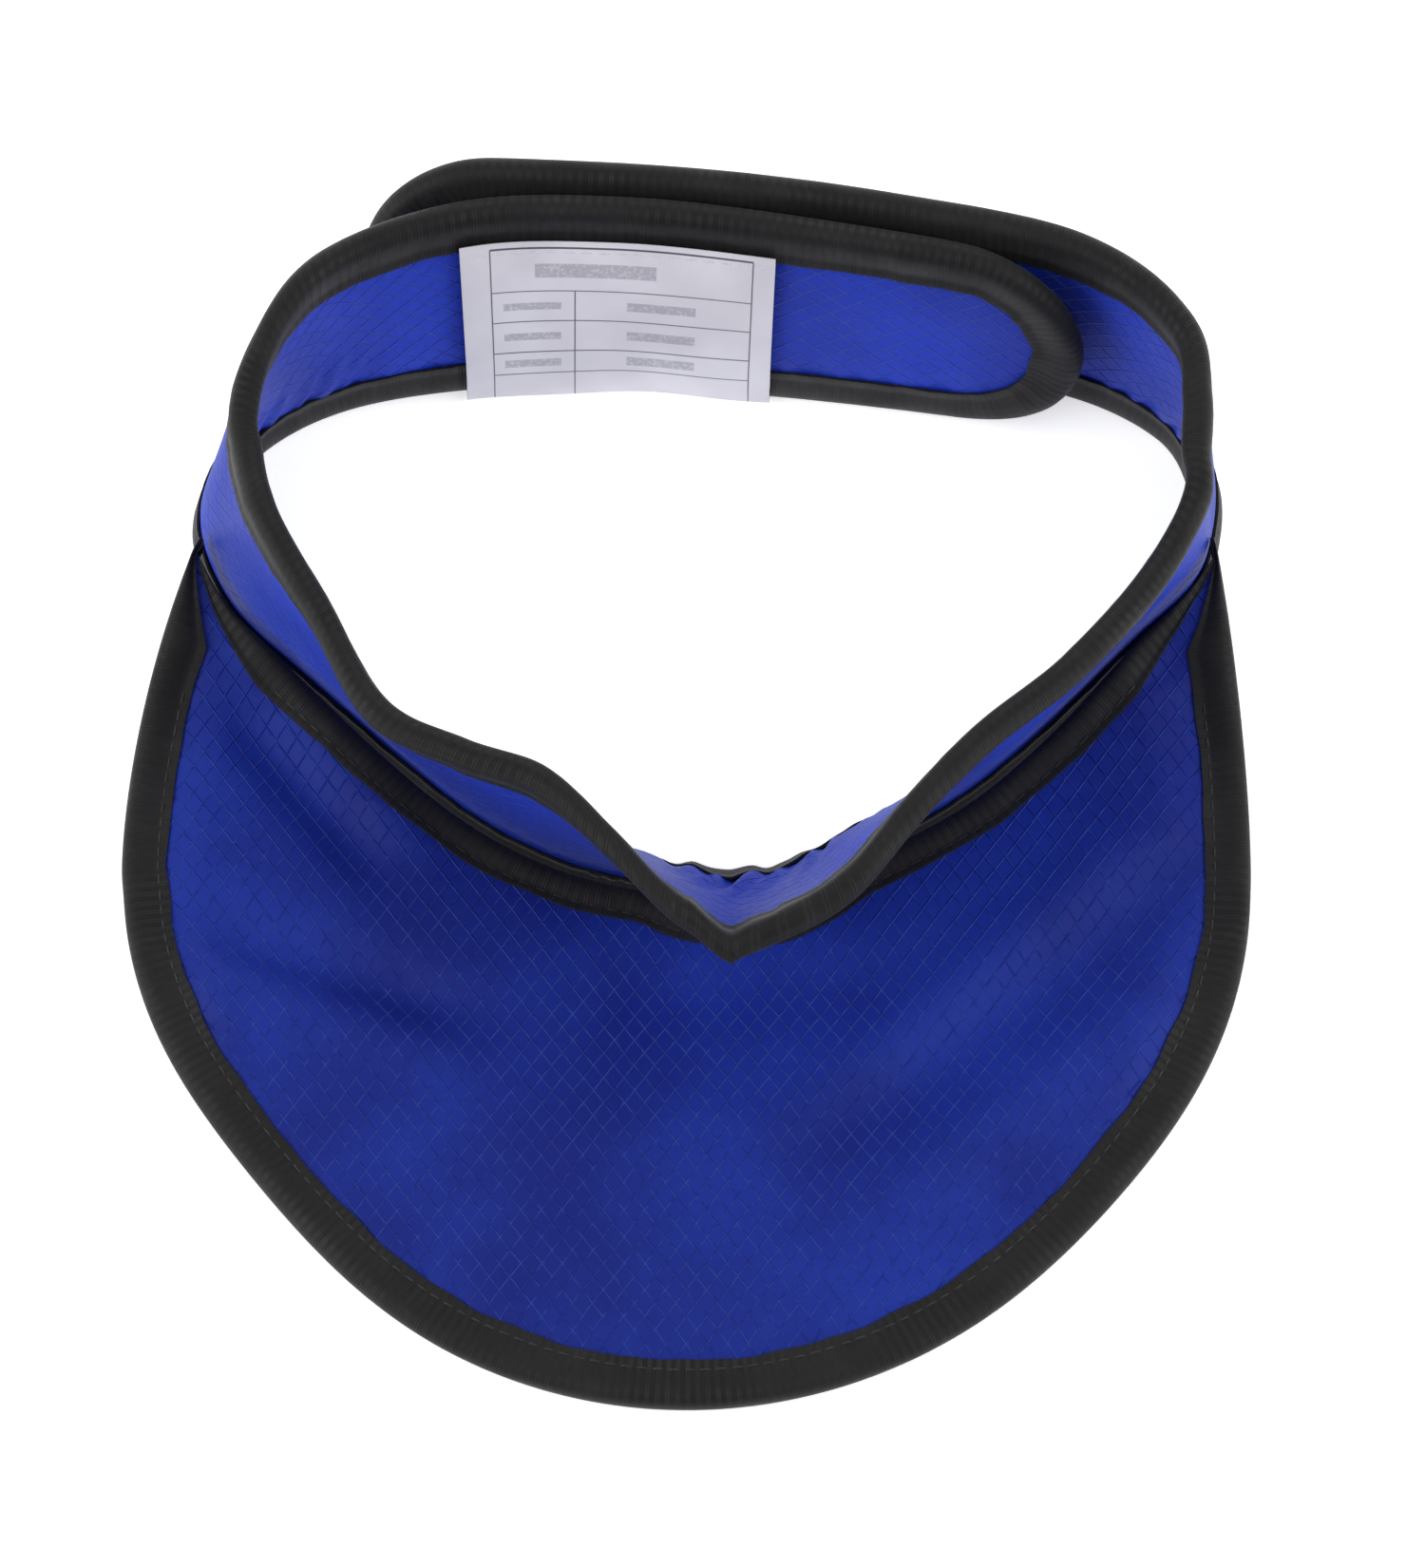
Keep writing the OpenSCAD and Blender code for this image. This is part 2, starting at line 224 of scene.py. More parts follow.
def rim_line():
    """The bib's outer edge from the left horn's tip, round the front, to the right horn's tip."""
    def horn(tip_x):
        r = horn_radius(tip_x)
        top = math.asin((HORN_Y - BIB_CENTRE_Y) / r)
        a = np.linspace(top, 0, 40)
        x = np.sign(tip_x) * (BIB_R - r + r * np.cos(a))
        return np.stack([x, BIB_CENTRE_Y + r * np.sin(a)], axis=1)
    turn = np.linspace(-90, 90, 241)
    r = rim_radius(turn)
    a = np.radians(turn)
    front = np.stack([r * np.sin(a), BIB_CENTRE_Y - r * np.cos(a)], axis=1)
    return np.vstack([horn(LEFT_HORN_X)[:-1], front, horn(RIGHT_HORN_X)[:-1][::-1]])


def neck_line():
    """The bib's neck edge, beside the band's foot, from the left horn's tip to the right's."""
    s = np.linspace(s_at(LEFT_HINGE_AT), s_at(RIGHT_HINGE_AT), 400)
    off = NECK_OFF + NECK_CLEAR * visor(along(s, "lean"))
    points = np.stack([along(s, "x") + along(s, "nx") * off,
                       along(s, "y") + along(s, "ny") * off], axis=1)
    return points[points[:, 1] < HORN_Y - NECK_STOP]


def even(points, step):
    """The same line with points at even distances, smoothed a little, and their distances."""
    d = np.concatenate([[0], np.cumsum(np.linalg.norm(np.diff(points, axis=0), axis=1))])
    count = int(round(d[-1] / step)) + 1
    at = np.linspace(0, d[-1], count)
    line = np.stack([np.interp(at, d, points[:, k]) for k in range(2)], axis=1)
    for _ in range(6):
        line[1:-1] = 0.25 * line[:-2] + 0.5 * line[1:-1] + 0.25 * line[2:]
    return at, line


def fold(x, y, start, end, width, height):
    """A long soft ridge, or a trough where height is negative, from start to end."""
    ax, ay = (v * MM for v in start)
    bx, by = (v * MM for v in end)
    length = math.hypot(bx - ax, by - ay)
    wx, wy = (bx - ax) / length, (by - ay) / length
    ahead = ((x - ax) * wx + (y - ay) * wy) / length
    aside = -(x - ax) * wy + (y - ay) * wx
    ends = smoothstep(ahead, -0.3, 0.25) * (1 - smoothstep(ahead, 0.75, 1.3))
    return height * MM * ends * np.exp(-(aside / (width * MM)) ** 2)


# Soft folds of the bib: start, end, half width and height, all in millimetres
FOLDS = [
    ((-86, -19), (-40, -37), 5.5, -2.8),
    ((-88, -30), (-42, -46), 7, 1.7),
    ((-80, 21), (-55, -9), 5, -2.5),
    ((-70, 22), (-46, -4), 4, 1.3),
    ((26, -60), (92, -8), 8, -2.5),
    ((34, -76), (92, -30), 7, 2.2),
    ((30, -48), (84, 0), 6, 1.4),
    ((-12, -33), (36, -32), 9, -2.0),
    ((-30, -62), (24, -58), 12, 1.6),
    ((10, -100), (16, -84), 4, 1.0),
]


FOLD_DEPTH = 2.5 * MM     # the cloth arches off the table by as much as its deepest trough


def bib_lift(x, y):
    """How far the bib's middle layer is above its height on a flat table."""
    horns = 13 * MM * smoothstep(y, 2 * MM, 60 * MM) ** 1.2
    folds = sum(fold(x, y, *f) for f in FOLDS)
    from_middle = np.hypot(x, y - BIB_CENTRE_Y)
    inside = 1 - smoothstep(from_middle, 84 * MM, 97 * MM)
    sag = np.maximum(folds, -FOLD_DEPTH) * np.maximum(inside, 0.25)
    return horns + np.maximum(sag + FOLD_DEPTH * inside, 0)


def bib(x, y, off):
    """Points of the bib: a place on its plan, and off its middle layer, upwards."""
    x, y, off = np.broadcast_arrays(*(np.asarray(v, float) for v in (x, y, off)))
    return np.stack([x, y, BIB_MID + bib_lift(x, y) + off], axis=-1)


# ---------------------------------------------------------------- sewn edges

class Edge:
    """A sewn edge: places by the distance along it, in from it, and off the middle layer."""

    def at(self, d, inside, off):
        raise NotImplementedError


class BandEdge(Edge):
    """The edge of half the band: along the hem from the V, round the arm's tip, back on top."""

    def __init__(self, way):
        self.way = way
        straight = np.arange(TIP_R, V_S if way < 0 else BAND_L - V_S, 1 * MM)
        straight = np.append(straight, V_S if way < 0 else BAND_L - V_S)
        a = np.radians(np.linspace(3, 177, 59))
        tip = np.concatenate([straight[::-1], TIP_R * (1 - np.sin(a)), straight])
        up = np.concatenate([0 * straight, TIP_R * (1 - np.cos(a)), 0 * straight + BAND_H])
        along_in = np.concatenate([0 * straight, np.sin(a), 0 * straight])
        up_in = np.concatenate([0 * straight + 1, np.cos(a), 0 * straight - 1])
        self.d = np.concatenate([[0], np.cumsum(np.hypot(np.diff(tip), np.diff(up)))])
        self.columns = (tip, up, along_in, up_in)
        self.length = self.d[-1]

    def place(self, d, inside):
        tip, up, along_in, up_in = (np.interp(d, self.d, c) for c in self.columns)
        from_tip = tip + inside * along_in
        s = from_tip if self.way < 0 else BAND_L - from_tip
        return s, up + inside * up_in

    def at(self, d, inside, off):
        d, inside, off = np.broadcast_arrays(d, inside, off)
        s_edge, up_edge = self.place(d, 0 * inside)
        front_hem = (up_edge < 1 * MM) * (1 - smoothstep(along(s_edge, "y"), 0.040, 0.058))
        share = 1 - HEM_SAVED * front_hem * (off > 0)
        s, up = self.place(d, inside * share)
        return wall(s, up, off)


class BibEdge(Edge):
    """An edge of the bib. Beside a horn's tip its tape takes up part of the width that is left."""

    def __init__(self, points, other, side, tape_w, part):
        self.d, self.line = even(points, 1 * MM)
        self.length = self.d[-1]
        way = np.gradient(self.line, self.d, axis=0)
        way /= np.linalg.norm(way, axis=1)[:, None]
        self.inwards = side * np.stack([-way[:, 1], way[:, 0]], axis=1)
        gaps = np.linalg.norm(self.line[:, None] - other[None, ::2], axis=2).min(axis=1)
        self.share = np.maximum(np.minimum(gaps * part, tape_w) / TAPE_W, 0.12)

    def at(self, d, inside, off):
        d, inside, off = np.broadcast_arrays(d, inside, off)
        share = np.interp(d, self.d, self.share)
        x, y = (np.interp(d, self.d, self.line[:, k])
                + inside * share * np.interp(d, self.d, self.inwards[:, k]) for k in (0, 1))
        return bib(x, y, off)


# ---------------------------------------------------------------- meshes

def make(name, points, faces, uv=None, sharp=55):
    """A mesh object from points, faces and one texture place per point."""
    mesh = bpy.data.meshes.new(name)
    mesh.from_pydata(np.asarray(points).reshape(-1, 3).tolist(), [], [list(f) for f in faces])
    if uv is not None:
        uv = np.asarray(uv, float).reshape(-1, 2)
        corners = np.empty(len(mesh.loops), np.int32)
        mesh.loops.foreach_get("vertex_index", corners)
        layer = mesh.uv_layers.new(name="cloth")
        layer.data.foreach_set("uv", uv[corners].ravel())
    mesh.polygons.foreach_set("use_smooth", [True] * len(mesh.polygons))
    mesh.validate()
    mesh.set_sharp_from_angle(angle=math.radians(sharp))
    obj = bpy.data.objects.new(name, mesh)
    bpy.context.scene.collection.objects.link(obj)
    return obj


def grid_faces(rows, columns, first=0, wrap=False):
    """Quads of a grid of points; wrap closes each row on itself."""
    r, c = np.meshgrid(np.arange(rows - 1), np.arange(columns if wrap else columns - 1),
                       indexing="ij")
    after = (c + 1) % columns
    quads = np.stack([r * columns + c, r * columns + after,
                      (r + 1) * columns + after, (r + 1) * columns + c], axis=-1)
    return (quads + first).reshape(-1, 4)


def thin_solid(name, front, back, uv):
    """A closed sheet between two grids of points with the same layout."""
    rows, columns = front.shape[:2]
    count = rows * columns
    faces = [grid_faces(rows, columns), grid_faces(rows, columns, count)[:, ::-1]]
    rim = np.concatenate([np.arange(columns), columns * np.arange(1, rows) + columns - 1,
                          count - 2 - np.arange(columns - 1), columns * np.arange(rows - 2, 0, -1)])
    after = np.roll(rim, -1)
    faces.append(np.stack([rim, rim + count, after + count, after], axis=1))
    return make(name, np.concatenate([front.reshape(-1, 3), back.reshape(-1, 3)]),
                np.concatenate(faces), np.concatenate([uv.reshape(-1, 2)] * 2))


def closed_strip(name, rings, uv):
    """A closed solid through rings of points, with flat caps."""
    rows, columns = rings.shape[:2]
    faces = [list(f) for f in grid_faces(rows, columns, wrap=True)]
    faces.append(list(range(columns))[::-1])
    faces.append(list(range((rows - 1) * columns, rows * columns)))
    return make(name, rings, faces, uv, sharp=40)


def join(objects, name):
    """Several objects as one piece."""
    bpy.ops.object.select_all(action="DESELECT")
    for o in objects:
        o.select_set(True)
    bpy.context.view_layer.objects.active = objects[0]
    bpy.ops.object.join()
    objects[0].name = name
    objects[0].data.name = name
    return objects[0]


# ---------------------------------------------------------------- materials

class Nodes:
    """Short names for building a material's nodes."""

    def __init__(self, name):
        self.material = bpy.data.materials.new(name)
        self.material.use_nodes = True
        self.tree = self.material.node_tree
        self.shader = self.tree.nodes["Principled BSDF"]

    def value(self, given, socket):
        if isinstance(given, bpy.types.NodeSocket):
            self.tree.links.new(given, socket)
        else:
            socket.default_value = given

    def math(self, operation, a, b=0.0, clamp=False):
        node = self.tree.nodes.new("ShaderNodeMath")
        node.operation = operation
        node.use_clamp = clamp
        self.value(a, node.inputs[0])
        self.value(b, node.inputs[1])
        return node.outputs[0]

    def place(self, scale=1.0):
        """The flat cloth's two directions, in metres times scale."""
        uv = self.tree.nodes.new("ShaderNodeUVMap")
        uv.uv_map = "cloth"
        parts = self.tree.nodes.new("ShaderNodeSeparateXYZ")
        self.tree.links.new(uv.outputs[0], parts.inputs[0])
        return (self.math("MULTIPLY", parts.outputs[0], scale),
                self.math("MULTIPLY", parts.outputs[1], scale))

    def noise(self, scale, detail=2.0, rough=0.5):
        """Irregular shade from 0 to 1 through the space round the piece; scale is per metre."""
        where = self.tree.nodes.new("ShaderNodeTexCoord")
        node = self.tree.nodes.new("ShaderNodeTexNoise")
        self.tree.links.new(where.outputs["Object"], node.inputs["Vector"])
        node.inputs["Scale"].default_value = scale
        node.inputs["Detail"].default_value = detail
        node.inputs["Roughness"].default_value = rough
        return node.outputs["Fac"]

    def stretch(self, given, low, high, to_low=0.0, to_high=1.0):
        node = self.tree.nodes.new("ShaderNodeMapRange")
        node.interpolation_type = "SMOOTHSTEP"
        self.value(given, node.inputs["Value"])
        for name, number in (("From Min", low), ("From Max", high),
                             ("To Min", to_low), ("To Max", to_high)):
            node.inputs[name].default_value = number
        return node.outputs["Result"]

    def mix(self, share, a, b):
        node = self.tree.nodes.new("ShaderNodeMix")
        node.data_type = "RGBA"
        self.value(share, node.inputs["Factor"])
        self.value(a, node.inputs[6])
        self.value(b, node.inputs[7])
        return node.outputs[2]

    def bump(self, height, distance, strength=1.0, below=None):
        node = self.tree.nodes.new("ShaderNodeBump")
        node.inputs["Strength"].default_value = strength
        node.inputs["Distance"].default_value = distance
        self.value(height, node.inputs["Height"])
        if below is not None:
            self.tree.links.new(below, node.inputs["Normal"])
        return node.outputs[0]

    def finish(self, colour, roughness, normal=None, **fixed):
        self.value(colour, self.shader.inputs["Base Color"])
        self.value(roughness, self.shader.inputs["Roughness"])
        if normal is not None:
            self.tree.links.new(normal, self.shader.inputs["Normal"])
        for name, number in fixed.items():
            self.shader.inputs[name.replace("_", " ")].default_value = number
        return self.material


def colour(r, g, b):
    """A display colour, 0 to 255, as the shader's linear one."""
    return tuple(((v / 255 + 0.055) / 1.055) ** 2.4 if v > 10 else v / 255 / 12.92
                 for v in (r, g, b)) + (1.0,)


def ripstop_cloth(name, cell_u, cell_v, deep, bright):
    """Coated nylon with a raised diamond grid; cells are cell_u by cell_v millimetres."""
    n = Nodes(name)
    u, v = n.place(PER_MM)
    wander = n.math("MULTIPLY", n.math("SUBTRACT", n.noise(90, 2), 0.5), 0.16)
    lines = None
    for sign in (1, -1):
        sum_ = n.math("ADD", n.math("DIVIDE", u, cell_u), n.math("DIVIDE", v, sign * cell_v))
        saw = n.math("FRACT", n.math("ADD", n.math("ADD", sum_, wander), 200.5))
        gap = n.math("ABSOLUTE", n.math("SUBTRACT", saw, 0.5))
        line = n.stretch(gap, 0.0, 0.075, 1.0, 0.0)
        lines = line if lines is None else n.math("MAXIMUM", lines, line)
    weave = n.math("MULTIPLY", n.math("SINE", n.math("MULTIPLY", u, 2 * math.pi / 0.36)),
                   n.math("SINE", n.math("MULTIPLY", v, 2 * math.pi / 0.36)))
    cloudy = n.stretch(n.noise(28, 3), 0.3, 0.7)
    ground = n.mix(cloudy, deep, bright)
    thread = n.mix(n.stretch(n.noise(420, 1), 0.35, 0.65), bright, colour(52, 84, 190))
    shade = n.mix(n.math("MULTIPLY", lines, 0.55), ground, thread)
    crumple = n.bump(n.noise(140, 4, 0.6), 0.5 * MM, 0.5)
    woven = n.bump(weave, 0.03 * MM, 0.5, crumple)
    normal = n.bump(lines, 0.2 * MM, 1.0, woven)
    rough = n.stretch(n.noise(60, 3), 0.2, 0.8, 0.42, 0.56)
    return n.finish(shade, rough, normal, Sheen_Weight=0.02, Sheen_Roughness=0.4,
                    Specular_IOR_Level=0.15)


def ribbed_tape(name, pitch, base, light):
    """Binding tape with fine ribs across it, painted paler along its folded edges as a highlight."""
    n = Nodes(name)
    u, v = n.place(PER_MM)
    ribs = n.math("SINE", n.math("ADD", n.math("MULTIPLY", u, 2 * math.pi / pitch),
                                 n.math("MULTIPLY", n.noise(300, 2), 3.0)))
    worn = n.math("MULTIPLY", n.stretch(n.noise(200, 3), 0.45, 0.75), 0.35)
    rib_shade = n.stretch(ribs, -1.0, 1.0, 0.0, 0.22)
    # Painted highlight: a paler line along each folded edge of the tape.
    fold_edge_highlight = n.stretch(n.math("ABSOLUTE", n.math("SUBTRACT", n.math("ABSOLUTE", v), 8.0)),
                          0.0, 0.35, 0.5, 0.0)
    amount = n.math("MAXIMUM", n.math("ADD", rib_shade, n.math("MULTIPLY", worn, 0.4)), fold_edge_highlight)
    shade = n.mix(amount, base, light)
    soft = n.bump(n.noise(220, 3), 0.2 * MM, 0.4)
    normal = n.bump(ribs, 0.05 * MM, 0.7, soft)
    rough = n.stretch(n.noise(120, 2), 0.2, 0.8, 0.5, 0.66)
    return n.finish(shade, rough, normal, Sheen_Weight=0.06, Sheen_Roughness=0.5,
                    Specular_IOR_Level=0.22)


def thread_look(name, base, light):
    """Twisted sewing thread."""
    n = Nodes(name)
    u, v = n.place(PER_MM)
    twist = n.math("SINE", n.math("ADD", n.math("MULTIPLY", u, 2 * math.pi / 0.5),
                                  n.math("MULTIPLY", v, 4.0)))
    shade = n.mix(n.stretch(twist, -1.0, 1.0, 0.0, 0.6), base, light)
    return n.finish(shade, n.stretch(n.noise(900, 1), 0.3, 0.7, 0.4, 0.55),
                    n.bump(twist, 0.05 * MM, 0.6), Sheen_Weight=0.2, Specular_IOR_Level=0.45)


def lead_look(name):
    """Dull lead-filled rubber with a faint calendered mottling."""
    n = Nodes(name)
    shade = n.mix(n.noise(150, 4), colour(72, 74, 78), colour(104, 106, 110))
    return n.finish(shade, n.stretch(n.noise(400, 2), 0.3, 0.7, 0.62, 0.78),
                    n.bump(n.noise(700, 3), 0.08 * MM, 0.5), Specular_IOR_Level=0.3)


def pile_look(name, base, light, scale):
    """The fuzzy or hooked face of a fastening tape."""
    n = Nodes(name)
    shade = n.mix(n.stretch(n.noise(scale, 3), 0.35, 0.7), base, light)
    return n.finish(shade, n.stretch(n.noise(300, 2), 0.3, 0.7, 0.7, 0.9),
                    n.bump(n.noise(scale, 4), 0.3 * MM, 0.8), Sheen_Weight=0.5,
                    Sheen_Roughness=0.6, Specular_IOR_Level=0.25)


def label_look(name):
    """White satin label with a plain ruled table and grey bars where a real one has words."""
    n = Nodes(name)
    u, v = n.place(PER_MM)

    def bar(across, middle, half, soft=0.06):
        gap = n.math("ABSOLUTE", n.math("SUBTRACT", across, middle))
        return n.stretch(gap, half - soft, half + soft, 1.0, 0.0)

    def box(left, right, low, high):
        return n.math("MULTIPLY", bar(u, (left + right) / 2, (right - left) / 2),
                      bar(v, (low + high) / 2, (high - low) / 2))

    left, right, top, divider = -22.0, 23.2, -2.6, -7.6
    rows = (-12.3, -19.2, -26.0, -30.8)
    bottom = -40.0
    lines = [box(left, right, top - 0.22, top + 0.22)]
    lines += [box(left, right, row - 0.11, row + 0.11) for row in rows]
    lines += [box(x - 0.11, x + 0.11, bottom, top) for x in (left, right)]
    lines.append(box(divider - 0.11, divider + 0.11, bottom, rows[0]))
    words = [box(-14.5, 6.5, -9.2, -6.0)]
    words += [box(-20, -10, (a + b) / 2 - 0.8, (a + b) / 2 + 0.8)
              for a, b in zip(rows[:-1], rows[1:])]
    words += [box(1.5, 13.5, (a + b) / 2 - 1.0, (a + b) / 2 + 1.0)
              for a, b in zip(rows[:-1], rows[1:])]

    def most(parts):
        out = parts[0]
        for part in parts[1:]:
            out = n.math("MAXIMUM", out, part)
        return out

    satin = n.mix(n.stretch(n.noise(60, 2), 0.3, 0.7), colour(212, 210, 216),
                  colour(226, 224, 230))
    broken = n.stretch(n.noise(1500, 1), 0.3, 0.55, 0.5, 1.0)
    shade = n.mix(n.math("MULTIPLY", most(words), n.math("MULTIPLY", broken, 0.45)), satin,
                  colour(96, 96, 112))
    shade = n.mix(n.math("MULTIPLY", most(lines), 0.9), shade, colour(34, 34, 44))
    weave = n.math("MULTIPLY", n.math("SINE", n.math("MULTIPLY", u, 2 * math.pi / 0.3)),
                   n.math("SINE", n.math("MULTIPLY", v, 2 * math.pi / 0.24)))
    normal = n.bump(weave, 0.02 * MM, 0.4, n.bump(n.noise(120, 2), 0.2 * MM, 0.3))
    return n.finish(shade, n.stretch(n.noise(200, 2), 0.3, 0.7, 0.42, 0.52), normal,
                    Sheen_Weight=0.1, Specular_IOR_Level=0.4)


DEEP_BLUE = colour(19, 34, 122)
BRIGHT_BLUE = colour(25, 48, 150)
# The band's two blues are a lighter copy of the bib's blues for the same cloth: painted light for
# the side light on the band's walls.
BAND_PAINTED_LIT_DEEP = colour(24, 48, 158)
BAND_PAINTED_LIT_BRIGHT = colour(32, 62, 192)
BLACK = colour(18, 18, 19)
GREY = colour(46, 45, 47)

LOOKS = {
    # The band's cloth is the lit copy of the bib's cloth: its lighter blue is painted light.
    "band_cloth_painted_lit": ripstop_cloth("band_cloth_painted_lit", 5.0, 3.6, BAND_PAINTED_LIT_DEEP, BAND_PAINTED_LIT_BRIGHT),
    "bib_cloth": ripstop_cloth("bib_cloth", 3.6, 5.0, DEEP_BLUE, BRIGHT_BLUE),
    "binding": ribbed_tape("binding", 0.46, BLACK, GREY),
    "thread": thread_look("thread", colour(12, 12, 13), colour(30, 30, 32)),
    "white_thread": thread_look("white_thread", colour(196, 196, 210), colour(236, 236, 244)),
    "lead": lead_look("lead"),
    "loop": pile_look("loop", colour(22, 22, 24), colour(58, 58, 62), 1400),
    "hook": pile_look("hook", colour(16, 16, 18), colour(40, 40, 44), 2600),
    "label": label_look("label"),
}


def dress(obj, look):
    obj.data.materials.clear()
    obj.data.materials.append(LOOKS[look])
    return obj


# ---------------------------------------------------------------- pieces of the band

LEFT_BLEND = ("front", "left_arm", (0, 0.040, 0), (0, 0.066, 0))
RIGHT_BLEND = ("front", "right_arm", (0, 0.040, 0), (0, 0.066, 0))
HALVES = {"left": (-1, LEFT_BLEND), "right": (1, RIGHT_BLEND)}


def half_grid(way, inset, step=1.1 * MM, columns=46):
    """Places of half the band, from its round tip to the V: distance along it, and up it."""
    r = TIP_R - inset
    a = np.radians(np.linspace(4, 90, 26))
    tip = TIP_R - r * np.cos(a)
    length = V_S if way < 0 else BAND_L - V_S
    count = int(round((length - TIP_R) / step))
    tip = np.concatenate([tip, np.linspace(TIP_R, length, count + 1)[1:]])
    half = np.where(tip < TIP_R, np.sqrt(np.maximum(r ** 2 - (TIP_R - tip) ** 2, 1e-9)), r)
    share = np.linspace(-1, 1, columns)
    share = np.sin(share * math.pi / 2) * 0.35 + share * 0.65
    up = TIP_R + half[:, None] * share[None]
    from_tip = np.broadcast_to(tip[:, None], up.shape)
    s = from_tip if way < 0 else BAND_L - from_tip
    return s, up


def band_sheet(name, way, side):
    """The cover cloth (side 1) or the lining (side -1) of half the band."""
    s, up = half_grid(way, 1.1 * MM)
    inside = edge_distance(s, up)
    off = puff(inside, s, side)
    if side < 0:
        off = off + 0.3 * MM * creases(s, up)
    front = wall(s, up, side * off)
    back = wall(s, up, side * (off - CLOTH_T))
    if side * way > 0:
        front, back = back, front
    return thin_solid(name, front, back, np.stack([s, up], axis=-1))


def creases(s, up):
    """Sharper puckers of the lining where the band turns most, beside its hem binding."""
    low = np.exp(-((up - 11 * MM) / (7 * MM)) ** 2)
    where = bump_at(s, s_at(5.6), 20 * MM) + bump_at(s, s_at(24.6), 20 * MM)
    visor_lining = 1.6 * bump_at(s, V_S, 24 * MM)
    return low * (where + visor_lining) * (1 - 2 * np.abs(waves(s + 0.5 * up, 15 * MM, 3))) * 2


def band_lead(name, way):
    s, up = half_grid(way, 4 * MM, 2.5 * MM, 16)
    front, back = wall(s, up, 0.85 * MM), wall(s, up, -0.85 * MM)
    if way > 0:
        front, back = back, front
    return thin_solid(name, front, back, np.stack([s, up], axis=-1))


# Half the thickness of a bound edge at distances in from the edge, in millimetres
BOUND = np.array([[0.04, 0.35], [0.22, 0.95], [0.6, 1.55], [1.2, 2.05], [2.0, 2.32], [3.0, 2.36],
                  [4.2, 2.2], [5.2, 1.98], [6.0, 1.78], [6.4, 1.74], [6.9, 1.78], [7.5, 1.86],
                  [8.0, 1.84]])


def binding(name, edge, seed, gathers=None, plump=1.0, closed=0.0):
    """Tape folded over a sewn edge: a rounded rim that is pinched at the stitching.

    The rim is plump times as thick as usual, and its ends close over a distance of closed.
    """
    d = np.linspace(0, edge.length, int(edge.length / (0.9 * MM)))[:, None]
    inside, half = BOUND[:, 0] * MM, BOUND[:, 1] * MM * plump
    ring_in = np.concatenate([inside[::-1], inside])
    ring_off = np.concatenate([-half[::-1], half])
    thin_in = TAPE_T + ring_in * (1 - TAPE_T / TAPE_W)
    thin_off = np.sign(ring_off) * np.maximum(np.abs(ring_off) - TAPE_T, 0.05 * MM)
    across = np.concatenate([ring_in, thin_in[::-1]])[None]
    off = np.concatenate([ring_off, thin_off[::-1]])[None]
    face = np.sign(off)
    wide = 1 + 0.035 * waves(d + 0.3 * face, 24 * MM, seed) + 0.9 * (plump - 1)
    if closed:
        from_end = np.clip(np.minimum(d, edge.length - d) / closed, 0.1, 1)
        rounded = np.sqrt(1 - (1 - from_end) ** 2)
        wide = wide * rounded
        off = off * rounded
    rub = 0.10 * MM * waves(d + 0.5 * face, 9 * MM, seed + 1) * smoothstep(across, 1 * MM, 5 * MM)
    if gathers is not None:
        rub = rub + gathers(d, across, face)
    rings = edge.at(d, across * wide, off + face * rub)
    v = np.concatenate([-ring_in, ring_in])
    v = np.concatenate([v, v[::-1]])[None]
    uv = np.stack(np.broadcast_arrays(d, v), axis=-1)
    return closed_strip(name, rings, uv)


def stitches(edge, faces, start=0.0, end=None, inside=STITCH_IN, radius=0.17 * MM, off=None):
    """A row of stitches along an edge, each a short thread that dives into the tape."""
    end = edge.length if end is None else end
    count = int((end - start) / STITCH_PITCH)
    middles = start + (np.arange(count) + 0.5) * STITCH_PITCH
    reach = np.array([-1.15, -1.0, -0.5, 0.0, 0.5, 1.0, 1.15]) * MM
    lift = np.array([-0.32, -0.10, 0.02, 0.05, 0.02, -0.10, -0.32]) * MM
    turn = np.arange(6) * math.pi / 3
    surface = 1.74 * MM if off is None else off
    points, faces_out, uvs = [], [], []
    rings, sides = len(reach), len(turn)
    per = grid_faces(rings, sides, wrap=True)
    caps = [list(range(sides))[::-1], list(range((rings - 1) * sides, rings * sides))]
    n = 0
    for face in faces:
        d = middles[:, None, None] + reach[None, :, None] + 0 * turn
        across = inside + radius * np.cos(turn)[None, None] + 0 * d
        up = surface + lift[None, :, None] + radius * np.sin(turn)[None, None] + 0 * d
        p = edge.at(d, across, face * up)
        points.append(p.reshape(-1, 3))
        uvs.append(np.stack([d, 0 * d + turn * 0.1 * MM], axis=-1).reshape(-1, 2))
        for k in range(count):
            base = n + k * rings * sides
            quads = per + base
            faces_out += [list(q) if face > 0 else list(q)[::-1] for q in quads]
            faces_out += [[v + base for v in (c if face > 0 else c[::-1])] for c in caps]
        n += count * rings * sides
    return np.concatenate(points), faces_out, np.concatenate(uvs)


def orient(obj):
    """Turns every face outwards."""
    bm = bmesh.new()
    bm.from_mesh(obj.data)
    bmesh.ops.recalc_face_normals(bm, faces=bm.faces)
    bm.to_mesh(obj.data)
    bm.free()
    return obj


EDGES = {"left": BandEdge(-1), "right": BandEdge(1)}
BAND_PLUMP = 1.15         # the band's binding is this much thicker than the bib's


def v_gathers(edge):
    """Deep little gathers of the top binding where it turns round the V."""
    def gathers(d, across, face):
        near = bump_at(edge.length - d, 0, 11 * MM) * smoothstep(across, 0.5 * MM, 5 * MM)
        return near * 0.32 * MM * waves(d, 4.2 * MM, 61) * (face < 0)
    return gathers


